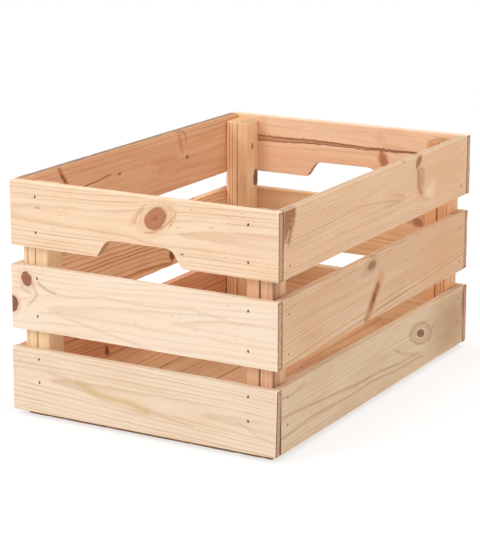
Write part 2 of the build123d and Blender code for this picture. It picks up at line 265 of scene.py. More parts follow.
class Graph:
    def __init__(self, name):
        self.mat = bpy.data.materials.new(name)
        self.mat.use_nodes = True
        self.t = self.mat.node_tree
        self.t.nodes.clear()

    def node(self, kind, **props):
        nd = self.t.nodes.new(kind)
        for k, v in props.items():
            setattr(nd, k, v)
        return nd

    def put(self, sock, value):
        if isinstance(value, Ex):
            self.t.links.new(value.s, sock)
        elif value is not None:
            sock.default_value = value

    def m(self, op, a, b=None, c=None, clamp=False):
        nd = self.node("ShaderNodeMath", operation=op)
        if clamp:
            nd.use_clamp = True
        self.put(nd.inputs[0], a)
        if b is not None:
            self.put(nd.inputs[1], b)
        if c is not None:
            self.put(nd.inputs[2], c)
        return Ex(self, nd.outputs[0])

    def sqrt(self, a): return self.m("SQRT", a)
    def fract(self, a): return self.m("FRACT", a)
    def floor(self, a): return self.m("FLOOR", a)
    def absv(self, a): return self.m("ABSOLUTE", a)
    def maxv(self, a, b): return self.m("MAXIMUM", a, b)
    def minv(self, a, b): return self.m("MINIMUM", a, b)
    def clamp(self, a): return self.m("ADD", a, 0.0, clamp=True)
    def power(self, a, b): return self.m("POWER", a, b)

    def smooth(self, lo, hi, x):
        nd = self.node("ShaderNodeMapRange", interpolation_type="SMOOTHSTEP")
        self.put(nd.inputs["Value"], x)
        if lo <= hi:
            nd.inputs["From Min"].default_value, nd.inputs["From Max"].default_value = lo, hi
            nd.inputs["To Min"].default_value, nd.inputs["To Max"].default_value = 0, 1
        else:
            nd.inputs["From Min"].default_value, nd.inputs["From Max"].default_value = hi, lo
            nd.inputs["To Min"].default_value, nd.inputs["To Max"].default_value = 1, 0
        return Ex(self, nd.outputs[0])

    def vec(self, x, y, z):
        nd = self.node("ShaderNodeCombineXYZ")
        for sock, v in zip(nd.inputs, (x, y, z)):
            self.put(sock, v)
        return Ex(self, nd.outputs[0])

    def dot(self, a, v):
        nd = self.node("ShaderNodeVectorMath", operation="DOT_PRODUCT")
        self.put(nd.inputs[0], a)
        nd.inputs[1].default_value = v
        return Ex(self, nd.outputs["Value"])

    def noise(self, vec, detail=2.0, rough=0.5, distort=0.0, w=None):
        nd = self.node("ShaderNodeTexNoise", noise_dimensions="3D")
        self.put(nd.inputs["Vector"], vec)
        nd.inputs["Scale"].default_value = 1.0
        nd.inputs["Detail"].default_value = detail
        nd.inputs["Roughness"].default_value = rough
        nd.inputs["Distortion"].default_value = distort
        return Ex(self, nd.outputs[0])

    def noise1(self, x, detail=1.0, rough=0.5):
        nd = self.node("ShaderNodeTexNoise", noise_dimensions="1D")
        self.put(nd.inputs["W"], x)
        nd.inputs["Scale"].default_value = 1.0
        nd.inputs["Detail"].default_value = detail
        nd.inputs["Roughness"].default_value = rough
        return Ex(self, nd.outputs[0])

    def white1(self, x):
        nd = self.node("ShaderNodeTexWhiteNoise", noise_dimensions="1D")
        self.put(nd.inputs["W"], x)
        return Ex(self, nd.outputs[0])

    def voronoi(self, vec, rnd=1.0):
        nd = self.node("ShaderNodeTexVoronoi", feature="F1", voronoi_dimensions="3D")
        self.put(nd.inputs["Vector"], vec)
        nd.inputs["Scale"].default_value = 1.0
        nd.inputs["Randomness"].default_value = rnd
        return Ex(self, nd.outputs["Distance"]), Ex(self, nd.outputs["Color"])

    def mix(self, fac, a, b, blend="MIX"):
        nd = self.node("ShaderNodeMix", data_type="RGBA", blend_type=blend, clamp_factor=True)
        self.put(nd.inputs[0], fac)
        for sock, v in ((nd.inputs[6], a), (nd.inputs[7], b)):
            if isinstance(v, Ex):
                self.put(sock, v)
            else:
                sock.default_value = (*v, 1.0)
        return Ex(self, nd.outputs[2])

    def attr(self, name):
        nd = self.node("ShaderNodeAttribute", attribute_type="GEOMETRY", attribute_name=name)
        return Ex(self, nd.outputs["Fac"])


def srgb(r, g, b):
    return tuple((c / 255 / 12.92) if c / 255 <= 0.04045 else ((c / 255 + 0.055) / 1.055) ** 2.4 for c in (r, g, b))


def polyline(g, x, y, pts):
    """Distance in mm from a line through the points."""
    best = None
    for (ax, ay), (bx, by) in zip(pts[:-1], pts[1:]):
        ll = (bx - ax) ** 2 + (by - ay) ** 2
        t = g.clamp((x - ax) * ((bx - ax) / ll) + (y - ay) * ((by - ay) / ll))
        dx, dy = x - ax - t * (bx - ax), y - ay - t * (by - ay)
        d = g.sqrt(dx * dx + dy * dy)
        best = d if best is None else g.minv(best, d)
    return best


def pine(name, place, seed, early=(226, 196, 158), late=(206, 160, 118), heart=(222, 178, 134), pith=(10.0, 40.0), tilt=(0.0, 0.0),
         spacing=3.6, contrast=1.0, wobble=1.0, heart_r=None, knots=(), stains=(), strokes=(), seams=(), wedges=(), bands=(), throat=0.0, crest=None, specks=1.0, bright=1.0,
         end=(206, 160, 118), end_rim=0.5, tone=1.0, fibre=1.0, tint_and_light=(1.0, 1.0, 1.0), pink=0.35):
    """Procedural pine. u, v and w are mm from the piece's centre along the grain, across it and through it."""
    rnd = random.Random(seed)
    g = Graph(name)
    tc = g.node("ShaderNodeTexCoord")
    obj = Ex(g, tc.outputs["Object"])
    c = place.centre
    u = g.dot(obj, tuple(place.es / MM)) - float(np.dot(c, place.es))
    v = g.dot(obj, tuple(place.et / MM)) - float(np.dot(c, place.et))
    w = g.dot(obj, tuple(place.ew / MM)) - float(np.dot(c, place.ew))
    o1, o2, o3 = (rnd.uniform(5, 95) for _ in range(3))

    # slow wander of the grain
    n1 = g.noise(g.vec(u * (1 / 150) + o1, v * (1 / 70) + o2, w * (1 / 70) + o3), 2.0, 0.5)
    n2 = g.noise(g.vec(u * (1 / 42) + o2, v * (1 / 16) + o3, w * (1 / 16) + o1), 2.0, 0.55)
    vv = v + (n1 - 0.5) * (8.0 * wobble) + (n2 - 0.5) * (1.5 * wobble)
    ww = w + (n2 - 0.5) * (0.9 * wobble)

    # knots bend the grain round them, as a stream bends round a stone
    fields = []
    for kn in knots:
        R, e, th = kn["r"], kn.get("e", 1.5), math.radians(kn.get("ang", 0))
        through = kn.get("plane", "uv") == "uw"
        across, lean_of = (w, v) if through else (v, w)
        du, dv = u - kn["u"] - lean_of * kn.get("lean", 0.0), across - kn["v"]
        a = (du * math.cos(th) + dv * math.sin(th)) / (R * e)
        b = (dv * math.cos(th) - du * math.sin(th)) / R
        rho2 = a * a + b * b
        rough_n = g.noise(g.vec(a * 1.1 + o3, b * 1.1 + o1, o2), 3.0, 0.6)
        rho = g.sqrt(rho2) * (1 + (rough_n - 0.5) * kn.get("ragged", 0.26))
        bend = (b * (R * kn.get("pull", 1.0))) / g.maxv(rho2, 1.0)
        if through:
            ww = ww - bend
        else:
            vv = vv - bend
        fields.append((kn, rho, a, b))

    dv0, dw0 = tilt
    ry = vv - pith[0] - u * dv0
    rz = ww - pith[1] - u * dw0
    r = g.sqrt(ry * ry + rz * rz)
    fray = g.noise(g.vec(u * (1 / 13) + o3, v * 0.9 + o2, w * 0.9 + o1), 2.0, 0.6)
    rr = (r + (fray - 0.5) * 0.55) * (1 / spacing)
    rr = rr + (g.noise1(rr * 0.23 + o1, 2.0) - 0.5) * 1.9
    f = g.fract(rr)
    ring = g.floor(rr)
    # each ring's dark latewood starts at its own place and ends sharply
    onset = g.white1(ring + o3) * 0.34 + 0.30
    ramp = g.clamp((f - onset) / (0.95 - onset))
    late_m = ramp * ramp * (3 - 2 * ramp) * g.smooth(1.0, 0.955, f)
    amp = g.white1(ring + o2) * 0.6 + 0.4
    patch = g.noise(g.vec(u * (1 / 75) + o3, v * (1 / 26) + o1, w * (1 / 26)), 2.0, 0.5)
    strength = late_m * amp * (g.smooth(0.25, 0.70, patch) * 0.5 + 0.5)

    # fibres and finer streaks, long along the grain
    fib = g.noise(g.vec(u * (1 / 34) + o1, vv * 1.25 + o2, ww * 1.25 + o3), 4.0, 0.62)
    fine = g.noise(g.vec(u * (1 / 9) + o2, v * 3.2 + o3, w * 3.2 + o1), 3.0, 0.6)
    streak = g.noise(g.vec(u * (1 / 210) + o3, vv * (1 / 5.5) + o1, ww * (1 / 8) + o2), 2.0, 0.5)
    blotch = g.noise(g.vec(u * (1 / 95) + o2, v * (1 / 38) + o1, w * (1 / 38) + o3), 2.0, 0.5)
    hue = g.noise(g.vec(u * (1 / 48) + o1, vv * (1 / 9) + o3, w * (1 / 20) + o2), 2.0, 0.5)

    E, Lt, H = srgb(*early), srgb(*late), srgb(*heart)
    hmix = (g.smooth(0.40, 0.68, blotch) * 0.5 + g.smooth(0.42, 0.66, streak) * 0.4)
    if heart_r is not None:
        hmix = g.smooth(heart_r + 7, heart_r - 7, r + (n2 - 0.5) * 10.0) * 0.75 + hmix * 0.35
    ground = g.mix(hmix * tone, E, H)
    ground = g.mix(g.smooth(0.45, 0.75, hue) * pink, ground, srgb(min(255, early[0] + 3), early[1] - 13, early[2] - 11))
    col = g.mix(g.clamp(strength * contrast), ground, Lt)
    shade = 1 + (fib - 0.5) * (0.20 * fibre) + (fine - 0.5) * (0.12 * fibre)

    # short dark resin flecks along the grain
    if specks:
        dist, vcol = g.voronoi(g.vec(u * (1 / 17) + o1, v * (1 / 3.4) + o2, w * (1 / 3.4) + o3))
        pick = g.smooth(0.86, 0.93, g.noise(g.vec(u * (1 / 23) + o2, v * (1 / 9) + o3, w * 0.1 + o1), 0.0) + 0.26)
        fleck = g.smooth(0.15, 0.05, dist) * pick * (0.55 * specks)
        col = g.mix(fleck, col, srgb(150, 98, 62))
        dist2, vcol2 = g.voronoi(g.vec(u * (1 / 5.0) + o3, v * (1 / 0.8) + o1, w * (1 / 0.8) + o2))
        duct = g.smooth(0.22, 0.06, dist2) * (strength * 0.8 + 0.10) * (0.5 * specks)
        col = g.mix(duct, col, srgb(168, 116, 78))

    # soft stains, ellipses or wedges with fuzzy, streaked rims
    def outer_side(side):
        return g.smooth(-1.2, 1.2, w * float(side)) if side else None

    for st in stains:
        th = math.radians(st.get("ang", 0))
        du, dv = u - st["u"], (w if st.get("plane") == "uw" else v) - st["v"]
        a = (du * math.cos(th) + dv * math.sin(th)) / st["ru"]
        b = (dv * math.cos(th) - du * math.sin(th)) / st["rv"]
        rho = g.sqrt(a * a + b * b) + (n2 - 0.5) * 0.4 + (fray - 0.5) * st.get("rag", 0.5)
        fac = g.smooth(1.15, st.get("hard", 0.25), rho) * st.get("a", 0.5)
        side = outer_side(st.get("face", 0))
        col = g.mix(fac if side is None else fac * side, col, srgb(*st["c"]))
    for wd in wedges:
        rag = g.noise(g.vec(u * 0.22 + o1, v * 0.55 + o2, o3), 4.0, 0.7)
        d = (u - wd["u0"] - (v - wd["v0"]) * wd["slope"]) + (rag - 0.5) * 12.0
        depth = g.clamp((v - wd["v0"]) * (1 / wd["tall"]))
        fac = g.smooth(2.0, -3.5, d) * g.smooth(-0.05, 0.3, depth)
        side = outer_side(wd.get("face", 0))
        fac = fac if side is None else fac * side
        dark = g.mix(g.smooth(0.35, 0.65, rag), srgb(*wd["c"]), srgb(*wd["c2"]))
        col = g.mix(fac * (depth * 0.35 + 0.6) * wd.get("a", 1.0), col, dark)

    # knots: rings of their own, a dark rim, a reddish halo
    for kn, rho, a, b in fields:
        dark = kn.get("dark", 1.0)
        halo_to = kn.get("halo", 2.0)
        # elliptical rings of pushed-aside grain round the knot
        waves_out = g.fract(rho * kn.get("rings", 3.0) + (n2 - 0.5) * 0.9 + (patch - 0.5) * 1.2)
        outer = g.smooth(halo_to, 1.15, rho) * g.smooth(0.98, 1.12, rho)
        col = g.mix(g.smooth(halo_to, 0.95, rho) * (0.5 * kn.get("glow", 1.0)), col, srgb(*kn.get("halo_col", (222, 172, 126))))
        side_fade = g.smooth(0.30, 0.62, g.noise(g.vec(a * 0.7 + o2, b * 0.7 + o3, o1), 2.0, 0.5) + kn.get("even", 0.0))
        col = g.mix(outer * g.smooth(0.50, 0.92, waves_out) * g.smooth(1.0, 0.90, waves_out) * side_fade * (0.85 * kn.get("lines", 1.0)), col, srgb(*kn.get("line_col", (184, 126, 84))))
        for at, wide, amount, hoop_col in kn.get("hoops", ()):
            ring_d = g.absv(rho + (n2 - 0.5) * 1.5 + (patch - 0.5) * 0.7 - at)
            col = g.mix(g.smooth(wide, wide * 0.2, ring_d) * (amount * (side_fade * 0.5 + 0.5)), col, srgb(*hoop_col))
        body = g.smooth(1.10, 0.84, rho)
        waves = g.fract(rho * 3.3 + (n2 - 0.5) * 0.8)
        core = g.mix(g.smooth(0.3, 0.9, waves) * 0.32, srgb(*kn.get("body", (186, 120, 86))), srgb(*kn.get("deep", (160, 96, 66))))
        core = g.mix(g.smooth(0.34, 0.06, rho) * 0.55, core, srgb(*kn.get("pit", (140, 80, 54))))
        rays = g.noise(g.vec(a * 3.0 + o1, b * 3.0 + o3, o2), 3.0, 0.7)
        core = g.mix(g.smooth(0.56, 0.70, rays) * 0.45, core, srgb(*kn.get("pit", (140, 80, 54))))
        soft = kn.get("soft", 0.0)
        if soft:
            body = g.smooth(1.1 + soft, 0.9 - soft, rho)
        col = g.mix(body * kn.get("fill", 0.95), col, core)
        rim = g.smooth(0.15, 0.02, g.absv(rho - 0.98)) * g.smooth(0.25, 0.55, rough_rim(g, a, b, o1, o3))
        col = g.mix(rim * (0.7 * dark), col, srgb(*kn.get("rim_col", (120, 66, 42))))

    # drawn grain lines, cracks and resin streaks
    for sk in strokes:
        amp_w = sk.get("wob", 0.5)
        jig = (g.noise(g.vec(u * (1 / sk.get("wl", 9.0)) + o2, v * 0.12 + o1, w * 0.12), 2.0, 0.55) - 0.5) * (2 * amp_w)
        d = polyline(g, u + jig * 0.4, v + jig, sk["p"])
        fac = g.smooth(sk["w"], sk["w"] * sk.get("hard", 0.25), d + (fray - 0.5) * (sk["w"] * sk.get("rag", 0.5))) * sk.get("a", 0.7)
        side = outer_side(sk.get("face", 0))
        col = g.mix(fac if side is None else fac * side, col, srgb(*sk["c"]))

    # a bark seam: a brown band between two darker broken lines
    for sm in seams:
        jag = (g.noise(g.vec(u * (1 / 7) + o1, o2, o3), 4.0, 0.75) - 0.5) * 5.5 + (g.noise(g.vec(u * (1 / 1.8) + o2, v * 0.2, o3), 2.0, 0.7) - 0.5) * 2.0
        d = polyline(g, u, v + jag * 0.8, sm["p"])
        half = sm["half0"] + (u - sm["p"][0][0]) * ((sm["half1"] - sm["half0"]) / (sm["p"][-1][0] - sm["p"][0][0])) + (g.noise(g.vec(u * (1 / 5) + o3, 0.0, o1), 2.0, 0.6) - 0.5) * 0.9
        side = outer_side(sm.get("face", 0))
        band = g.smooth(0.35, -0.35, d - half)
        lip = g.smooth(1.15, 0.25, g.absv(d - half) + (fine - 0.5) * 0.6)
        inner = g.mix(g.smooth(0.4, 0.65, fine), srgb(204, 142, 100), srgb(172, 108, 70))
        col = g.mix((band if side is None else band * side) * 0.9, col, inner)
        col = g.mix((lip if side is None else lip * side) * 0.85, col, srgb(122, 66, 38))

    # painted shade in corners: soft boxes across the piece, darkened where a neighbouring board shadows it
    for bd in bands:
        rag = (g.noise(g.vec(u * (1 / 6.0) + o1, v * 0.3, w * 0.3 + o2), 3.0, 0.6) - 0.5) * bd.get("rag", 1.2)
        box = g.smooth(bd["v0"] - 0.5, bd["v0"] + 0.5, v + rag) * g.smooth(bd["v1"] + 0.5, bd["v1"] - 0.5, v + rag) * g.smooth(bd["w0"] - 0.8, bd["w0"] + 0.8, w + rag) * g.smooth(bd["w1"] + 0.8, bd["w1"] - 0.8, w + rag)
        col = g.mix(box * bd.get("a", 0.7), col, srgb(*bd["c"]))

    # end grain: drier and browner, the rings as arcs, scorched by the saw at its rim
    edge, mark = g.attr("edge"), g.attr("mark")
    nrm = Ex(g, tc.outputs["Normal"])
    endm = g.smooth(0.55, 0.85, g.absv(g.dot(nrm, tuple(place.es))))
    egrain = g.mix(g.clamp(late_m * 0.75 + (fine - 0.5) * 0.5), srgb(*end), srgb(end[0] * 0.80, end[1] * 0.74, end[2] * 0.68))
    pores = g.noise(g.vec(v * 2.4 + o1, w * 2.4 + o2, o3), 3.0, 0.6)
    # painted shade on the upward-facing top edges: their colour is pulled towards a darker, greyer tone, broken up by
    # noise
    if crest:
        upper = g.smooth(0.45, 0.85, g.dot(nrm, tuple(place.et)))
        top_shade_breakup = g.noise(g.vec(u * (1 / 19) + o2, w * 0.35 + o1, o3), 3.0, 0.6)
        col = g.mix(upper * crest[3] * (g.smooth(0.3, 0.6, top_shade_breakup) * 0.4 + 0.6), col, srgb(*crest[:3]))
    if throat:
        cut = g.smooth(0.35, 0.75, -g.dot(nrm, tuple(place.et))) * g.smooth(51.0, 47.0, g.absv(u)) * g.smooth(-34.0, -31.0, v)
        sawn = g.mix(g.smooth(0.35, 0.65, fray), srgb(150, 108, 70), srgb(112, 76, 46))
        col = g.mix(cut * throat * (g.smooth(25.0, 34.0, g.absv(u)) * 0.7 + 0.3), col, sawn)
    egrain = g.mix(g.smooth(0.5, 0.75, pores) * 0.3, egrain, srgb(end[0] * 0.72, end[1] * 0.64, end[2] * 0.56))
    scorch = g.smooth(2.4, 0.7, edge + (pores - 0.5) * 1.4 + (g.noise1(v * 0.16 + o2, 3.0, 0.7) - 0.5) * 2.4)
    egrain = g.mix(scorch * end_rim, egrain, srgb(end[0] * 0.56, end[1] * 0.47, end[2] * 0.38))
    col = g.mix(endm * 0.95, col, egrain)

    # paler arrises, partly worn wood and partly a painted highlight where the rounded edges catch the light, with
    # broken dark nicks; the wood is darker in nail pits and along the bark groove
    wear_and_highlight_noise = g.noise(g.vec(u * (1 / 7) + o3, v * 0.6 + o1, w * 0.6 + o2), 3.0, 0.6)
    arris_highlight_and_wear = g.smooth(1.7, 0.35, edge + (wear_and_highlight_noise - 0.5) * 1.6) * (1 - endm)
    col = g.mix(arris_highlight_and_wear * 0.40, col, srgb(min(255, early[0] + 8), min(255, early[1] + 4), early[2] - 2))
    nick = g.smooth(0.63, 0.74, wear_and_highlight_noise) * g.smooth(1.3, 0.2, edge)
    col = g.mix(nick * 0.35, col, srgb(150, 104, 70))
    col = g.mix(g.smooth(0.12, 0.95, mark), col, srgb(66, 40, 26))

    # the piece's tint multiplies its colour, carrying painted light and shade along with the wood's own tone
    tinted_and_lit = g.mix(1.0, col, tuple(tint_and_light), blend="MULTIPLY")
    scale = g.node("ShaderNodeVectorMath", operation="SCALE")
    g.put(scale.inputs[0], tinted_and_lit)
    g.put(scale.inputs["Scale"], shade * bright)
    colour = Ex(g, scale.outputs[0])

    rough = 0.60 - strength * 0.10 + (fib - 0.5) * 0.16 + endm * 0.15 + mark * 0.2
    height = strength * 0.55 + (fib - 0.5) * 1.1 + (fine - 0.5) * 0.7
    for kn, rho, a, b in fields:
        height = height + g.smooth(1.15, 0.8, rho) * 1.2 - g.smooth(0.14, 0.0, g.absv(rho - 1.0)) * 1.3
    height = height + endm * (pores - 0.5) * 2.2
    bump = g.node("ShaderNodeBump")
    bump.inputs["Strength"].default_value = 0.6
    bump.inputs["Distance"].default_value = 0.00018
    g.put(bump.inputs["Height"], height)
    bsdf = g.node("ShaderNodeBsdfPrincipled")
    g.put(bsdf.inputs["Base Color"], colour)
    g.put(bsdf.inputs["Roughness"], rough)
    g.put(bsdf.inputs["Normal"], Ex(g, bump.outputs[0]))
    bsdf.inputs["Specular IOR Level"].default_value = 0.26
    out = g.node("ShaderNodeOutputMaterial")
    g.t.links.new(bsdf.outputs[0], out.inputs[0])
    return g.mat


def rough_rim(g, a, b, o1, o3):
    """Breaks a knot's dark rim, so that it is strong on some sides and gone on others."""
    return g.noise(g.vec(a * 1.2 + o3, b * 1.2 + o1, 3.7), 2.0, 0.6)


def metal(name, seed, base=(150, 146, 138), tarnish=(86, 74, 62), rough=0.42):
    g = Graph(name)
    tc = g.node("ShaderNodeTexCoord")
    obj = Ex(g, tc.outputs["Object"])
    x, y, z = (g.dot(obj, tuple(a / MM)) for a in (X, Y, Z))
    n = g.noise(g.vec(x * 1.7 + seed, y * 1.7, z * 1.7), 4.0, 0.6)
    fine = g.noise(g.vec(x * 9 + seed, y * 9, z * 9), 3.0, 0.6)
    col = g.mix(g.smooth(0.42, 0.62, n), srgb(*base), srgb(*tarnish))
    bump = g.node("ShaderNodeBump")
    bump.inputs["Strength"].default_value = 0.5
    bump.inputs["Distance"].default_value = 0.00006
    g.put(bump.inputs["Height"], fine)
    bsdf = g.node("ShaderNodeBsdfPrincipled")
    g.put(bsdf.inputs["Base Color"], col)
    bsdf.inputs["Metallic"].default_value = 0.9
    g.put(bsdf.inputs["Roughness"], rough + (n - 0.5) * 0.3)
    g.put(bsdf.inputs["Normal"], Ex(g, bump.outputs[0]))
    out = g.node("ShaderNodeOutputMaterial")
    g.t.links.new(bsdf.outputs[0], out.inputs[0])
    return g.mat


# --------------------------------------------------------------------------
# the pieces, each from its CAD node's box
# --------------------------------------------------------------------------
def mm_box(node):
    lo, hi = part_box(node)
    return np.array(lo) / MM, np.array(hi) / MM


def place_of(node, kind):
    lo, hi = mm_box(node)
    dx, dy, dz = hi - lo
    if kind == "front":
        pl = Place((lo[0], hi[1], lo[2]), X, Z, -Y, (dx, dz, dy))
    elif kind == "back":
        pl = Place((hi[0], lo[1], lo[2]), -X, Z, Y, (dx, dz, dy))
    elif kind == "right":
        pl = Place((lo[0], lo[1], lo[2]), Y, Z, X, (dy, dz, dx))
    elif kind == "left":
        pl = Place((hi[0], hi[1], lo[2]), -Y, Z, -X, (dy, dz, dx))
    elif kind == "batten":
        pl = Place((lo[0], lo[1], lo[2]), Z, X, Y, (dz, dx, dy))
    elif kind == "floor":
        pl = Place((hi[0], lo[1], lo[2]), Y, -X, Z, (dy, dx, dz))
    elif kind == "cleat":
        pl = Place((lo[0], lo[1], lo[2]), X, Y, Z, (dx, dy, dz))
    pl.nail_along = False
    return pl


def piece(ob, node, mat):
    ob.data.materials.append(mat)
    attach(ob, "root")
    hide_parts(node)
    return ob


# brads, as the CAD has them: heights above each board's lower edge
END_BRADS = {"bottom": (33.0, 58.0), "middle": (16.0, 56.0), "top": (16.0, 53.0)}
SIDE_BRADS = {"bottom": (28.0, 56.0), "middle": (12.0, 52.0), "top": (12.0, 49.0)}
(BATTEN_LO, BATTEN_HI) = mm_box("front_right_end_batten")
END_NAIL_X = (BATTEN_LO[0] + BATTEN_HI[0]) / 2
NAIL_Y = abs(BATTEN_LO[1] + BATTEN_HI[1]) / 2


def grip(x):
    """Height of the hand-grip notch above the board's lower edge, x in mm from the crate's middle."""
    out = np.zeros_like(x)
    total = 0
    for o in (-1.1, -0.55, 0.0, 0.55, 1.1):
        a = np.abs(x + o)
        flat_end, tx, tz, R, H = 29.9, 41.65, 12.1, 14.0, 18.5
        h = np.where(a <= flat_end, H, 0.0)
        arc = (H - R) + np.sqrt(np.clip(R * R - (a - flat_end) ** 2, 0, None))
        h = np.where((a > flat_end) & (a <= tx), arc, h)
        h = np.where((a > tx) & (a <= 49.5), (49.5 - a) * (18.5 / 12.0), h)
        out = out + h
        total += 1
    return out / total


GRIP_LINES = [(155 + s * c, (0,)) for s in (-1, 1) for c in np.arange(28.0, 52.5, 0.7)]

LOOK = {}


def look(node, **kw):
    LOOK[node] = kw


# centred coordinates: on the front wall u = x and v = z - board middle; on the right wall u = y;
# on the left wall u = -y; on the back wall u = -x; face -1 is a board's inner side
look("front_top_board", throat=0.9, crest=(232, 200, 164, 0.4), early=(244, 212, 176), late=(208, 156, 112), heart=(238, 200, 158), pith=(3, -24), tilt=(0.01, 0.012), spacing=2.8, contrast=0.84, wobble=0.7, fibre=1.4,
     end=(204, 158, 118), end_rim=0.75,
     knots=[dict(u=19.8, v=13.3, r=9.0, e=1.5, ang=38, halo=2.3, rings=2.6, pull=1.2, ragged=0.2, body=(186, 116, 80), deep=(160, 92, 62), pit=(132, 70, 46), soft=0.06,
                 rim_col=(136, 78, 52), dark=0.7, glow=1.1, halo_col=(232, 182, 136), line_col=(204, 148, 104), lines=0.7)],
     stains=[dict(u=31.0, v=17.0, ru=17, rv=13, ang=30, c=(236, 194, 150), a=0.55, hard=0.0, face=1),
             dict(u=60.9, v=26.4, ru=2.4, rv=0.9, c=(186, 140, 96), a=0.7, face=1), dict(u=37.7, v=8.9, ru=2.0, rv=1.2, c=(166, 114, 72), a=0.8, face=1),
             dict(u=82.6, v=11.2, ru=3.2, rv=0.8, c=(186, 140, 96), a=0.6, face=1), dict(u=99.1, v=-15.9, ru=2.4, rv=0.8, c=(196, 148, 104), a=0.6, face=1),
             dict(u=49.9, v=-19.0, ru=2.9, rv=1.0, c=(112, 76, 44), a=0.95, face=1), dict(u=143.9, v=-18.1, ru=2.2, rv=0.8, c=(190, 146, 104), a=0.6, face=1),
             dict(u=-120.4, v=8.1, ru=3.4, rv=1.1, c=(170, 126, 80), a=0.8, face=1)],
     strokes=[dict(p=[(-4.9, 6.0), (-0.5, 15.0), (5.8, 22.2)], w=1.8, c=(194, 138, 94), a=0.6, hard=0.0, rag=0.9, face=1), dict(p=[(-9.5, 3.0), (-5.0, 13.0), (1.5, 21.0), (9, 26)], w=1.6, c=(206, 152, 108), a=0.5, hard=0.0, rag=0.9, face=1),
              dict(p=[(8.0, -2.5), (16.0, -1.2), (25.1, 3.4), (36.6, 11.8), (41, 18)], w=1.8, c=(190, 134, 90), a=0.6, hard=0.0, rag=0.9, face=1), dict(p=[(17.0, 1.6), (22.0, 2.8), (26.0, 5.0)], w=1.7, c=(164, 112, 72), a=0.6, face=1),
              dict(p=[(35, 6), (42, 14), (43, 22), (36, 29)], w=2.0, c=(214, 164, 120), a=0.5, hard=0.0, rag=0.9, face=1)])
look("front_middle_board", early=(242, 216, 184), late=(214, 174, 134), heart=(240, 210, 174), pith=(-4, -15), tilt=(0.045, 0.02), spacing=4.6, contrast=0.68, wobble=1.3, pink=0.2, fibre=1.3,
     end=(198, 158, 116), end_rim=0.7,
     knots=[dict(u=-136.1, v=20.3, r=5.9, e=1.27, ang=-62, halo=2.3, rings=2.2, body=(160, 90, 60), deep=(134, 70, 44), pit=(108, 50, 32), rim_col=(104, 52, 34), ragged=0.3, halo_col=(238, 196, 158), glow=1.0, dark=1.3, lines=0.8),
            dict(u=-155.6, v=-8.6, r=7.8, e=1.15, ang=80, halo=1.8, rings=2.2, body=(140, 76, 52), deep=(116, 58, 38), pit=(100, 50, 36), rim_col=(96, 46, 32), ragged=0.3, halo_col=(236, 190, 150), glow=1.0, dark=1.3)],
     strokes=[dict(p=[(-143.3, 11.7), (-137.2, 7.2), (-131.0, 5.4)], w=2.2, c=(206, 158, 112), a=0.6, hard=0.0, rag=0.9, face=1),
              dict(p=[(-129.3, 18.8), (-127.1, 11.7), (-123.5, 4.8), (-127.5, -1.0), (-133.9, -6.1)], w=2.6, c=(206, 160, 112), a=0.6, hard=0.0, rag=0.9, face=1),
              dict(p=[(-121.9, 17.7), (-114.6, 13.4), (-107.3, 10.2), (-101, 9)], w=2.4, c=(184, 146, 104), a=0.6, hard=0.0, rag=0.9, face=1),
              dict(p=[(-107.3, 10.2), (-95.0, 8.7), (-82.8, 7.2), (-46.4, 13.2), (10, 11), (60, 15), (110, 8), (156, 9)], w=2.6, c=(212, 174, 130), a=0.38, hard=0.0, rag=0.9, wob=0.8, wl=26, face=1),
              dict(p=[(-120, -14), (-100, -12), (-80, -16), (-50, -22), (-20, -27), (20, -35)], w=2.4, c=(216, 178, 138), a=0.45, hard=0.0, rag=0.9, wob=0.8, wl=26, face=1)])
look("front_bottom_board", early=(238, 210, 174), late=(200, 158, 116), heart=(232, 196, 154), pith=(0, -22), tilt=(-0.035, 0.012), spacing=2.7, contrast=0.8, wobble=0.7, pink=0.2, fibre=1.4,
     end=(198, 152, 116), end_rim=0.95,
     strokes=[dict(p=[(-112, 11.7), (-92, 9.6), (-76, 6.4), (-62, 1.2), (-50, -3.0)], w=3.2, c=(210, 166, 118), a=0.42, hard=0.0, rag=1.0, face=1),
              dict(p=[(-76, 6.4), (-66, 2.8), (-57, -0.8), (-46, -3.6), (-34, -4.3), (-20, -4.8), (-7, -7.0), (6, -10.0)], w=7.6, c=(216, 172, 116), a=0.62, hard=0.0, rag=1.0, face=1),
              dict(p=[(5.2, -10.1), (28.7, -12.4), (60, -17)], w=2.2, c=(204, 162, 118), a=0.5, hard=0.0, rag=0.8, face=1),
              dict(p=[(112, -4), (122, -8), (133, -14), (152, -19)], w=1.8, c=(206, 168, 128), a=0.5, hard=0.0, face=1)])
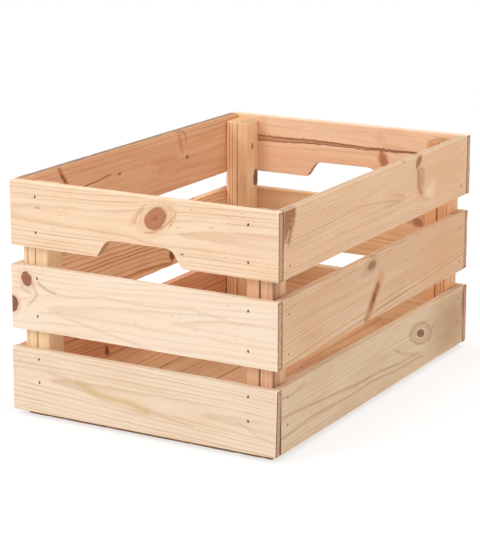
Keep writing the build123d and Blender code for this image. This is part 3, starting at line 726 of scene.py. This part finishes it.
look("right_top_board", crest=(188, 164, 134, 0.7), early=(226, 190, 154), late=(180, 134, 96), heart=(216, 176, 136), pith=(-72, -26), tilt=(-0.02, 0.015), spacing=2.1, contrast=0.92, wobble=0.8, fibre=1.5,
     end=(176, 132, 94), end_rim=0.8,
     knots=[dict(u=88.6, v=27.8, r=4.6, e=1.7, ang=42, halo=2.2, body=(166, 112, 70), deep=(138, 86, 50), pit=(112, 66, 38), rim_col=(118, 72, 42), glow=0.7, ragged=0.6, soft=0.15, halo_col=(212, 166, 124), lines=0.6, dark=1.2),
            dict(u=94.5, v=5.5, r=8.6, e=1.45, ang=86, halo=1.7, body=(196, 142, 96), deep=(172, 112, 70), pit=(142, 84, 50), rim_col=(138, 84, 50), fill=0.7, soft=0.35, glow=0.7, ragged=0.9, halo_col=(216, 170, 132), lines=0.3, dark=0.35)],
     stains=[dict(u=150, v=0, ru=100, rv=60, c=(216, 168, 122), a=0.45, hard=0.0, rag=0.2, face=1), dict(u=120, v=-12, ru=22, rv=14, ang=30, c=(234, 204, 170), a=0.7, rag=0.9, hard=0.0, face=1), dict(u=30, v=-2, ru=34, rv=10, ang=-8, c=(206, 162, 120), a=0.35, face=1),
             dict(u=52.8, v=33.5, ru=4.2, rv=1.6, c=(140, 96, 58), a=0.9, face=1), dict(u=88, v=16, ru=4, rv=5, c=(170, 118, 84), a=0.6, rag=0.9, face=1)],
     strokes=[dict(p=[(-140, 2), (-60, 6), (-10, 1), (40, -6)], w=1.6, c=(192, 146, 104), a=0.55, hard=0.0, face=1), dict(p=[(20, 3.5), (45, -1), (52, -5), (38, -8), (0, -6)], w=1.6, c=(190, 144, 100), a=0.5, hard=0.0, face=1),
              dict(p=[(86, 19), (88.5, 8), (92, -4), (100, -10)], w=2.6, c=(144, 88, 50), a=0.6, hard=0.0, rag=1.0, wob=1.0, wl=4, face=1),
              dict(p=[(90, -8), (102, -16), (118, -20)], w=4.0, c=(196, 148, 112), a=0.5, hard=0.0, rag=1.0, face=1),
              dict(p=[(-199, 28), (-205, 14), (-211, 2)], w=6.0, c=(134, 86, 58), a=0.75, hard=0.0, rag=1.3, wob=2.2, wl=3, face=1)],
     wedges=[dict(u0=-224.0, v0=-8.0, slope=0.70, tall=26.0, c=(174, 114, 70), c2=(122, 72, 40), a=1.0, face=1)])
look("right_middle_board", early=(220, 184, 148), late=(174, 130, 92), heart=(210, 168, 128), pith=(-46, -30), tilt=(0.02, 0.02), spacing=2.3, contrast=0.92, wobble=0.7, fibre=1.5,
     end=(172, 128, 88), end_rim=0.7,
     knots=[dict(u=-23.5, v=25.5, r=4.7, e=2.1, ang=0, halo=2.6, body=(156, 108, 72), deep=(128, 82, 52), pit=(104, 62, 38), rim_col=(128, 82, 52), soft=0.35, ragged=0.85, glow=0.9, halo_col=(200, 162, 124), dark=0.6)],
     stains=[dict(u=165, v=0, ru=110, rv=60, c=(212, 158, 110), a=0.6, hard=0.0, rag=0.2, face=1), dict(u=-40, v=21, ru=16, rv=6, ang=14, c=(190, 158, 128), a=0.7, hard=0.0, face=1), dict(u=-18.6, v=35, ru=5, rv=2.6, c=(140, 96, 64), a=0.8, face=1), dict(u=-6, v=4, ru=12, rv=6, ang=50, c=(204, 160, 124), a=0.6, hard=0.0, face=1)],
     strokes=[dict(p=[(-1.8, 6.9), (-12.5, -3.9), (-19.6, -13.1), (-26.8, -22.2), (-31.5, -30.9)], w=11.5, c=(200, 146, 98), a=0.7, hard=0.3, rag=0.7, face=1),
              dict(p=[(-9.0, -0.5), (-13.5, -5.5), (-19.6, -13.1), (-25.0, -19.5)], w=7.4, c=(158, 92, 48), a=0.9, hard=0.3, rag=0.8, face=1),
              dict(p=[(-16.5, -9), (-22.5, -17)], w=4.0, c=(112, 58, 30), a=0.75, hard=0.2, rag=0.8, face=1),
              dict(p=[(-24, -19), (-30.5, -25.2), (-36.5, -30.9)], w=7.0, c=(176, 120, 72), a=0.75, hard=0.25, rag=0.8, face=1)])
look("right_bottom_board", early=(222, 192, 156), late=(180, 142, 104), heart=(212, 176, 136), pith=(-48, -20), tilt=(0.012, 0.01), spacing=3.0, contrast=0.72, wobble=0.9, pink=0.3, fibre=1.4,
     end=(176, 132, 96), end_rim=0.7,
     knots=[dict(u=103.6, v=7.0, r=4.5, e=2.3, ang=-15, halo=3.2, rings=1.2, pull=2.4, hoops=[(1.85, 0.45, 0.42, (176, 128, 86)), (2.7, 0.62, 0.5, (164, 120, 82))], body=(148, 90, 52), deep=(108, 58, 32), pit=(72, 36, 20), rim_col=(112, 66, 38), ragged=0.4, glow=0.9, halo_col=(226, 194, 158), lines=0.7, even=0.2, line_col=(170, 126, 90))],
     stains=[dict(u=137, v=7.5, ru=15, rv=5, ang=24, c=(186, 148, 114), a=0.6, hard=0.0, face=1), dict(u=46, v=1.5, ru=6, rv=3.0, c=(186, 144, 106), a=0.6, hard=0.0, face=1), dict(u=158, v=24, ru=14, rv=4, c=(188, 150, 118), a=0.5, hard=0.0, face=1),
             dict(u=190, v=0, ru=84, rv=52, c=(182, 138, 96), a=0.85, hard=0.0, face=1), dict(u=222, v=4, ru=9, rv=30, c=(166, 120, 84), a=0.5, hard=0.0, rag=0.9, face=1)],
     strokes=[dict(p=[(36, 5.0), (46, 0.6), (60, -5.5), (83, -10.7)], w=2.4, c=(186, 144, 106), a=0.42, hard=0.0, rag=0.8, face=1),
              dict(p=[(-221, 4), (-180, 2), (-120, -2), (-60, -7), (0, -9), (50, -13), (100, -14)], w=2.2, c=(180, 138, 100), a=0.7, hard=0.0, wob=1.4, wl=40, face=1),
              dict(p=[(-221, 24), (-200, 22), (-170, 27)], w=2.4, c=(180, 142, 104), a=0.5, hard=0.0, wob=1.0, wl=30, face=1),
              dict(p=[(-221, -17), (-150, -13), (-80, -15), (-20, -14), (40, -19), (110, -20)], w=2.2, c=(180, 138, 100), a=0.65, hard=0.0, wob=1.4, wl=40, face=1)])
look("left_top_board", crest=(120, 90, 70, 0.9), early=(218, 166, 126), late=(182, 118, 78), heart=(208, 150, 108), pith=(-6, 34), tilt=(0.01, 0.01), spacing=3.2, contrast=0.66, wobble=0.9, fibre=1.3,
     stains=[dict(u=-90, v=19, ru=17, rv=6, ang=70, c=(190, 112, 78), a=0.6, face=-1), dict(u=-104.8, v=0.0, ru=4.4, rv=3.2, c=(134, 74, 48), a=0.9, face=-1), dict(u=39.1, v=5.9, ru=4.6, rv=2.2, c=(142, 82, 52), a=0.9, face=-1),
             dict(u=-60, v=4, ru=34, rv=7, c=(196, 132, 90), a=0.4, rag=1.2, face=-1), dict(u=-150, v=14, ru=30, rv=9, c=(206, 140, 98), a=0.4, rag=1.2, face=-1)],
     strokes=[dict(p=[(154, 33), (149.5, 25), (141.7, 16), (138, 8)], w=4.8, c=(168, 98, 64), a=0.85, hard=0.1, rag=0.8, face=-1), dict(p=[(149, 23), (143, 17)], w=3.2, c=(124, 62, 38), a=0.8, face=-1),
              dict(p=[(108, 4.6), (100.8, 5.0), (81.6, 5.9), (65.9, 8.0), (57.0, 8.4)], w=0.95, c=(112, 58, 34), a=0.95, wob=0.3, face=-1),
              dict(p=[(-80, 34.1), (-93, 33), (-100.1, 27.9), (-103, 18)], w=2.6, c=(160, 96, 64), a=0.6, hard=0.0, rag=0.8, face=-1),
              dict(p=[(190, 18), (90, 22), (-24, 19.7), (-185, 22)], w=1.9, c=(186, 122, 80), a=0.35, hard=0.0, wob=1.2, wl=50, face=-1),
              dict(p=[(-26, 6.0), (-42, 4.6), (-58, 3.6), (-82, 3.8)], w=3.4, c=(186, 118, 78), a=0.32, hard=0.0, rag=1.4, wob=2.4, wl=9, face=-1)])
look("left_middle_board", early=(220, 166, 124), late=(172, 104, 66), heart=(206, 144, 100), pith=(-52, 24), tilt=(0.03, 0.01), spacing=4.4, contrast=1.3, wobble=1.3, fibre=1.3,
     knots=[dict(u=-69, v=-20.0, r=5.2, e=1.35, ang=75, halo=2.0, pull=1.6, body=(120, 66, 40), deep=(92, 46, 26), pit=(70, 34, 20), rim_col=(70, 34, 20), glow=0.8, halo_col=(190, 124, 80), line_col=(150, 88, 54))])
look("left_bottom_board", early=(210, 154, 114), late=(166, 102, 66), heart=(196, 134, 94), pith=(-60, 30), tilt=(0.03, 0.0), spacing=4.8, contrast=1.1, fibre=1.3,
     knots=[dict(u=69.7, v=-12.2, r=3.4, e=1.5, ang=80, halo=2.4, body=(138, 76, 48), deep=(112, 58, 36), pit=(88, 44, 28), rim_col=(88, 44, 28), glow=0.8, halo_col=(184, 116, 78))],
     strokes=[dict(p=[(40, -30), (0, -20), (-40, -12)], w=6, c=(170, 102, 66), a=0.55, hard=0.0, wob=2.0, wl=20, face=-1)])
look("back_top_board", throat=0.8, crest=(218, 182, 150, 0.7), early=(240, 190, 150), late=(204, 142, 100), heart=(230, 172, 130), pith=(10, 44), tilt=(0.01, -0.01), spacing=1.9, contrast=0.52, wobble=0.5, fibre=1.4, end=(194, 136, 102), end_rim=0.9,
     knots=[dict(u=-50.4, v=-3.8, r=4.9, e=1.75, ang=72, halo=2.0, body=(188, 112, 78), deep=(166, 92, 62), pit=(142, 74, 48), rim_col=(156, 88, 58), ragged=0.7, glow=0.7, soft=0.25, halo_col=(226, 160, 118), lines=0.6)],
     # the two long stains make the inner face paler towards the top and darker towards the bottom
     stains=[dict(u=20, v=24, ru=260, rv=20, c=(248, 204, 168), a=0.3, hard=0.0, rag=0.2, face=-1), dict(u=0, v=-18, ru=260, rv=22, c=(226, 162, 120), a=0.5, hard=0.0, rag=0.2, face=-1), dict(u=-46, v=21, ru=9, rv=7, c=(222, 156, 116), a=0.5, face=-1), dict(u=-60, v=12, ru=20, rv=5, c=(222, 160, 118), a=0.4, face=-1), dict(u=110, v=20, ru=9, rv=16, c=(218, 150, 108), a=0.45, face=-1)],
     seams=[dict(p=[(122, 6.7), (86, 6.8), (60, 7.5), (33, 8.2), (6, 8.0), (-20, 7.2), (-52, 7.0), (-78, 7.4), (-100, 8.2)], half0=3.0, half1=0.3, face=-1)])
look("back_middle_board", early=(230, 180, 134), late=(196, 140, 94), heart=(216, 162, 116), pith=(18, 30), tilt=(0.02, 0.02), spacing=4.2, contrast=0.9, fibre=1.2, end=(194, 136, 102), end_rim=0.9, stains=[dict(u=-156, v=16, ru=3.5, rv=22, c=(138, 78, 52), a=0.7, rag=0.7)],
     knots=[dict(u=-96, v=14, r=4.6, e=1.3, ang=20), dict(u=72, v=-12, r=6.2, e=1.5, ang=8)])
look("back_bottom_board", early=(230, 182, 136), late=(194, 140, 94), heart=(214, 162, 116), pith=(-12, 22), tilt=(0.03, 0.0), spacing=3.8, contrast=0.9, fibre=1.2, end=(194, 136, 102), end_rim=0.9, stains=[dict(u=-156, v=16, ru=3.5, rv=24, c=(118, 60, 42), a=0.85, rag=0.7)],
     knots=[dict(u=28, v=9, r=5.4, e=1.4, ang=-12)])

# corner battens: the side-panel battens show close growth rings, the end-panel battens are plain
SIDE_RINGS = dict(front_left=dict(pith=(44, 12), spacing=3.3, contrast=1.2), back_left=dict(pith=(-42, 10), spacing=3.6, contrast=1.45),
                  front_right=dict(pith=(30, 60), spacing=1.7, contrast=0.9), back_right=dict(pith=(40, 12), spacing=3.4, contrast=1.5))

WALLS = {}
for end in ("front", "back"):
    for row in ("top", "middle", "bottom"):
        WALLS[f"{end}_{row}_board"] = (end, row)
for side in ("left", "right"):
    for row in ("top", "middle", "bottom"):
        WALLS[f"{side}_{row}_board"] = (side, row)

# how long each end board runs past its neighbours, and the gap at each side board's ends, in mm
OVERRUN = {"front_top_board": (-0.2, 1.8), "front_middle_board": (0.8, 1.2), "front_bottom_board": (1.8, 0.2), "back_top_board": (0.4, -0.3), "back_middle_board": (-0.4, 0.6), "back_bottom_board": (0.9, 0.2)}
END_GAPS = {"right_top_board": 0.15, "right_middle_board": 0.3, "right_bottom_board": 0.6}
# colour of each piece against the others, partly as each board comes from its own log and partly painted light: the
# inside boards and the left corner battens are brightened to stand in for light the lamps don't bring there, and the
# front cleat is darkened to painted shade under the front bottom board
TINT_AND_PAINTED_LIGHT = {
    "floor_cleat_front": (0.56, 0.56, 0.56),
    "front_top_board": (0.89, 0.915, 0.985), "front_middle_board": (0.91, 0.95, 1.06), "front_bottom_board": (0.89, 0.945, 1.09),
    "right_top_board": (0.94, 0.925, 0.93), "right_middle_board": (0.91, 0.90, 0.91), "right_bottom_board": (0.86, 0.88, 0.92),
    "left_top_board": (1.12, 1.22, 1.28), "left_middle_board": (1.24, 1.58, 1.82), "left_bottom_board": (1.12, 1.20, 1.24),
    "back_top_board": (1.02, 1.19, 1.31), "back_middle_board": (0.98, 1.12, 1.22), "back_bottom_board": (0.98, 1.12, 1.22),
    "back_left_side_batten": (1.34, 1.58, 1.74), "back_left_end_batten": (1.12, 1.34, 1.42), "back_right_side_batten": (1.0, 0.94, 0.87), "back_right_end_batten": (1.0, 0.95, 0.88),
    "front_left_side_batten": (1.14, 1.46, 1.66), "front_left_end_batten": (1.14, 1.46, 1.66), "front_right_side_batten": (0.93, 0.98, 1.08), "front_right_end_batten": (0.94, 0.98, 1.1),
    "floor_board_left_outer": (0.86, 0.90, 0.88), "floor_board_left_inner": (0.82, 0.86, 0.84), "floor_board_right_inner": (0.87, 0.92, 0.92), "floor_board_right_outer": (0.80, 0.86, 0.88),
}

seed = 11
for node, (wall, row) in WALLS.items():
    seed += 17
    rnd = random.Random(seed)
    pl = place_of(node, wall)
    L, W, T = pl.size
    if wall in ("front", "back"):
        nails = [(L / 2 + s * END_NAIL_X, h) for s in (-1, 1) for h in END_BRADS[row]]
    else:
        nails = [(L / 2 + s * NAIL_Y, h) for s in (-1, 1) for h in SIDE_BRADS[row]]
    kw = dict(nails=nails, cup=rnd.uniform(-0.12, 0.12), ends=OVERRUN.get(node, (0, 0)), end_gap=END_GAPS.get(node, 0.25))
    if row == "top" and wall in ("front", "back"):
        kw["lower"] = lambda s: grip(s - 155.0)
        kw["s_fine"] = GRIP_LINES
    if node == "back_top_board":
        # a bark seam along the inside
        kw["t_fine"] = [(41.5, tuple(np.arange(-4, 5, 0.5)))]
        kw["grooves"] = [dict(t=41.3, slope=-0.002, amp=0.45, wave=17, half=1.7, depth=0.35, side=-1, s0=26, s1=258, seed=40, fade=30, dark=0.12)]
    if node == "front_bottom_board":
        kw["lean"] = 1.7
    if node == "right_top_board":
        kw["bow"] = (1.7, 0.0)
        kw["chips"] = [(L / 2 + 52.8, W, T, 1.6, 5.0)]
    if node == "right_middle_board":
        kw["bow"] = (0.9, 0.0)
        kw["chips"] = [(L / 2 - 18.6, W, T, 1.8, 4.5)]
    ob = board_mesh(node + "_pine", pl, seed, **kw)
    lk = dict(LOOK.get(node, {}))
    if not lk:
        lk = dict(early=(232, 200, 160), late=(208, 164, 122), heart=(224, 182, 138), pith=(rnd.uniform(-40, 40), rnd.choice((-1, 1)) * rnd.uniform(15, 70)),
                  tilt=(rnd.uniform(-.03, .03), rnd.uniform(-.04, .04)), spacing=rnd.uniform(3.0, 4.8), contrast=0.85,
                  knots=[dict(u=rnd.uniform(-L / 2 + 30, L / 2 - 30), v=rnd.uniform(-24, 24), r=rnd.uniform(3.5, 7), e=rnd.uniform(1.1, 1.7), ang=rnd.uniform(-20, 20)) for _ in range(rnd.choice((1, 2)))])
    piece(ob, node, pine(node + "_wood", pl, seed, tint_and_light=TINT_AND_PAINTED_LIGHT.get(node, (1, 1, 1)), **lk))

for end in ("front", "back"):
    for side in ("left", "right"):
        for kind in ("end", "side"):
            node = f"{end}_{side}_{kind}_batten"
            seed += 17
            rnd = random.Random(seed)
            pl = place_of(node, "batten")
            # the hidden faces are a little shy of each other, so that a dark joint shows between two battens
            ob = board_mesh(node + "_pine", pl, seed, r0=1.5, step=4.0, sides=0.5, wear=0.6)
            lk = dict(early=(228, 180, 138), late=(192, 136, 94), heart=(218, 164, 120), pith=(rnd.uniform(-8, 8), rnd.choice((-1, 1)) * rnd.uniform(45, 70)),
                      tilt=(rnd.uniform(-.01, .01), rnd.uniform(-.02, .02)), spacing=rnd.uniform(2.8, 3.6), contrast=0.5, wobble=0.4, end=(194, 146, 102), end_rim=0.25)
            if kind == "end":
                lk["stains"] = [dict(u=81.8, v=-1.0, plane="uw", ru=4.2, rv=2.4, c=(96, 58, 34), a=0.85, hard=0.5), dict(u=-83, v=0.4, plane="uw", ru=4.0, rv=2.4, c=(96, 58, 34), a=0.8, hard=0.5)]
            if kind == "side":
                lk.update(SIDE_RINGS[f"{end}_{side}"])
            if node == "front_right_side_batten":
                # painted shade along the outer corner, where the front boards' ends shadow the side batten
                lk["bands"] = [dict(v0=5.9, v1=9.5, w0=-16.0, w1=-8.6, c=(138, 84, 52), a=0.85), dict(v0=6.1, v1=9.5, w0=-8.6, w1=0.6, c=(184, 134, 100), a=0.7), dict(v0=-10.0, v1=-6.1, w0=-16.0, w1=-11.0, c=(160, 104, 68), a=0.7)]
            if node == "front_right_end_batten":
                # painted shade in the corner where the end batten meets the side batten behind the front boards
                lk["bands"] = [dict(v0=6.1, v1=10.0, w0=-16.0, w1=-11.0, c=(160, 104, 68), a=0.7)]
            if node == "back_left_end_batten":
                lk["knots"] = [dict(u=42.0, v=7.6, plane="uw", r=5.4, e=1.75, ang=2, halo=1.8, body=(112, 66, 38), deep=(88, 48, 26), pit=(66, 34, 18), rim_col=(64, 32, 18), glow=0.7, halo_col=(200, 146, 100))]
            piece(ob, node, pine(node + "_wood", pl, seed, tint_and_light=TINT_AND_PAINTED_LIGHT.get(node, (1, 1, 1)), **lk))

for place in ("left_outer", "left_inner", "right_inner", "right_outer"):
    node = f"floor_board_{place}"
    seed += 17
    rnd = random.Random(seed)
    pl = place_of(node, "floor")
    L, W, T = pl.size
    nails = [(y, W / 2 + s * 25.0) for y in (17.0, L / 2, L - 17.0) for s in (-1, 1)]
    ob = board_mesh(node + "_pine", pl, seed, nails=nails, cup=rnd.uniform(-0.1, 0.1), sides=0.2)
    piece(ob, node, pine(node + "_wood", pl, seed, early=(220, 170, 128), late=(176, 118, 78), heart=(204, 148, 104),
          pith=(rnd.uniform(-30, 30), rnd.choice((-1, 1)) * rnd.uniform(15, 60)), tilt=(rnd.uniform(-.03, .03), rnd.uniform(-.04, .04)), spacing=rnd.uniform(3.2, 4.6), contrast=0.9,
          tint_and_light=TINT_AND_PAINTED_LIGHT.get(node, (1, 1, 1)),
          knots=[dict(u=rnd.uniform(-180, 180), v=rnd.uniform(-24, 24), r=rnd.uniform(3.5, 6.0), e=1.3)]))
for place in ("front", "middle", "back"):
    node = f"floor_cleat_{place}"
    seed += 17
    rnd = random.Random(seed)
    pl = place_of(node, "cleat")
    pl.o = pl.o + 0.06 * Z
    ob = board_mesh(node + "_pine", pl, seed, wave=0.03)
    piece(ob, node, pine(node + "_wood", pl, seed, early=(188, 144, 108), late=(156, 110, 76), heart=(176, 130, 92), tint_and_light=TINT_AND_PAINTED_LIGHT.get(node, (1, 1, 1)),
          pith=(rnd.uniform(-30, 30), rnd.choice((-1, 1)) * rnd.uniform(25, 60)), spacing=3.2))

# --------------------------------------------------------------------------
# brads and screws keep their CAD shape, with a worn steel finish
# --------------------------------------------------------------------------
STEEL = metal("brad_steel", 3.0, base=(72, 60, 50), tarnish=(38, 28, 22), rough=0.6)
ZINC = metal("screw_zinc", 9.0, base=(176, 170, 158), tarnish=(120, 108, 92), rough=0.38)
for node in ("front_panel_nails", "back_panel_nails", "left_panel_nails", "right_panel_nails", "floor_nails"):
    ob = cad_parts[node]
    for sl in ob.material_slots:
        sl.material = STEEL
for node in ("corner_screws", "floor_screws"):
    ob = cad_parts[node]
    for sl in ob.material_slots:
        sl.material = ZINC

# --------------------------------------------------------------------------
# floor, light, camera
# --------------------------------------------------------------------------
def studio_floor():
    """White floor round the crate, which runs into an evenly lit white sweep further out."""
    me = bpy.data.meshes.new("studio_floor")
    s = 6.0
    me.from_pydata([(-s, -s, 0), (s, -s, 0), (s, s, 0), (-s, s, 0)], [], [(0, 1, 2, 3)])
    ob = bpy.data.objects.new("studio_floor", me)
    bpy.context.scene.collection.objects.link(ob)
    g = Graph("studio_floor_white")
    tc = g.node("ShaderNodeTexCoord")
    obj = Ex(g, tc.outputs["Object"])
    x, y = g.dot(obj, (1, 0, 0)), g.dot(obj, (0, 1, 0))
    far = g.smooth(0.45, 1.1, g.sqrt(x * x + y * y)) * 0.38 + 0.62
    bsdf = g.node("ShaderNodeBsdfPrincipled")
    bsdf.inputs["Base Color"].default_value = (0.94, 0.94, 0.94, 1)
    bsdf.inputs["Roughness"].default_value = 0.8
    bsdf.inputs["Specular IOR Level"].default_value = 0.1
    glow = g.node("ShaderNodeEmission")
    glow.inputs["Color"].default_value = (1, 1, 1, 1)
    glow.inputs["Strength"].default_value = 1.0
    mix = g.node("ShaderNodeMixShader")
    g.put(mix.inputs[0], far)
    g.t.links.new(bsdf.outputs[0], mix.inputs[1])
    g.t.links.new(glow.outputs[0], mix.inputs[2])
    out = g.node("ShaderNodeOutputMaterial")
    g.t.links.new(mix.outputs[0], out.inputs[0])
    me.materials.append(g.mat)


studio_floor()


def area(name, loc, target, size, power, colour=(1, 1, 1)):
    d = bpy.data.lights.new(name, "AREA")
    d.shape = "SQUARE"
    d.size = size
    d.energy = power
    d.color = colour
    o = bpy.data.objects.new(name, d)
    bpy.context.scene.collection.objects.link(o)
    o.location = loc
    direction = np.array(target, float) - np.array(loc, float)
    from mathutils import Vector
    o.rotation_euler = Vector(direction).to_track_quat("-Z", "Y").to_euler()


area("key_softbox", (-1.2, -2.1, 1.9), (0, 0, 0.12), 1.1, 32)
area("top_softbox", (0.3, 0.1, 2.4), (0, 0, 0.1), 1.8, 20)
area("side_fill", (2.3, -0.4, 1.0), (0, 0, 0.12), 1.6, 10)

# a white sky behind everything; it lights the crate less than the lamps do
world = bpy.data.worlds.new("studio")
bpy.context.scene.world = world
world.use_nodes = True
wt = world.node_tree
bg = wt.nodes["Background"]
bg.inputs[0].default_value = (1, 1, 1, 1)
bg.inputs[1].default_value = 0.80
seen = wt.nodes.new("ShaderNodeBackground")
seen.inputs[0].default_value = (1, 1, 1, 1)
seen.inputs[1].default_value = 1.0
path = wt.nodes.new("ShaderNodeLightPath")
blend = wt.nodes.new("ShaderNodeMixShader")
wt.links.new(path.outputs["Is Camera Ray"], blend.inputs[0])
wt.links.new(bg.outputs[0], blend.inputs[1])
wt.links.new(seen.outputs[0], blend.inputs[2])
wt.links.new(blend.outputs[0], wt.nodes["World Output"].inputs[0])

cam = bpy.data.cameras.new("view")
cam.sensor_width = 36.0
cam.lens = 1934.3 / 540 * 36
cam.shift_y = -0.05
cam.clip_start = 0.05
cam.clip_end = 30
cam_ob = bpy.data.objects.new("view", cam)
bpy.context.scene.collection.objects.link(cam_ob)
cam_ob.location = (0.9961, -1.7825, 0.6548)
cam_ob.rotation_euler = (math.radians(90 - 13.80), 0, math.radians(29.59))
bpy.context.scene.camera = cam_ob
bpy.context.scene.view_settings.view_transform = "Standard"
bpy.context.scene.view_settings.look = "None"
bpy.context.scene.view_settings.exposure = 0.0
bpy.context.scene.view_settings.gamma = 1.0
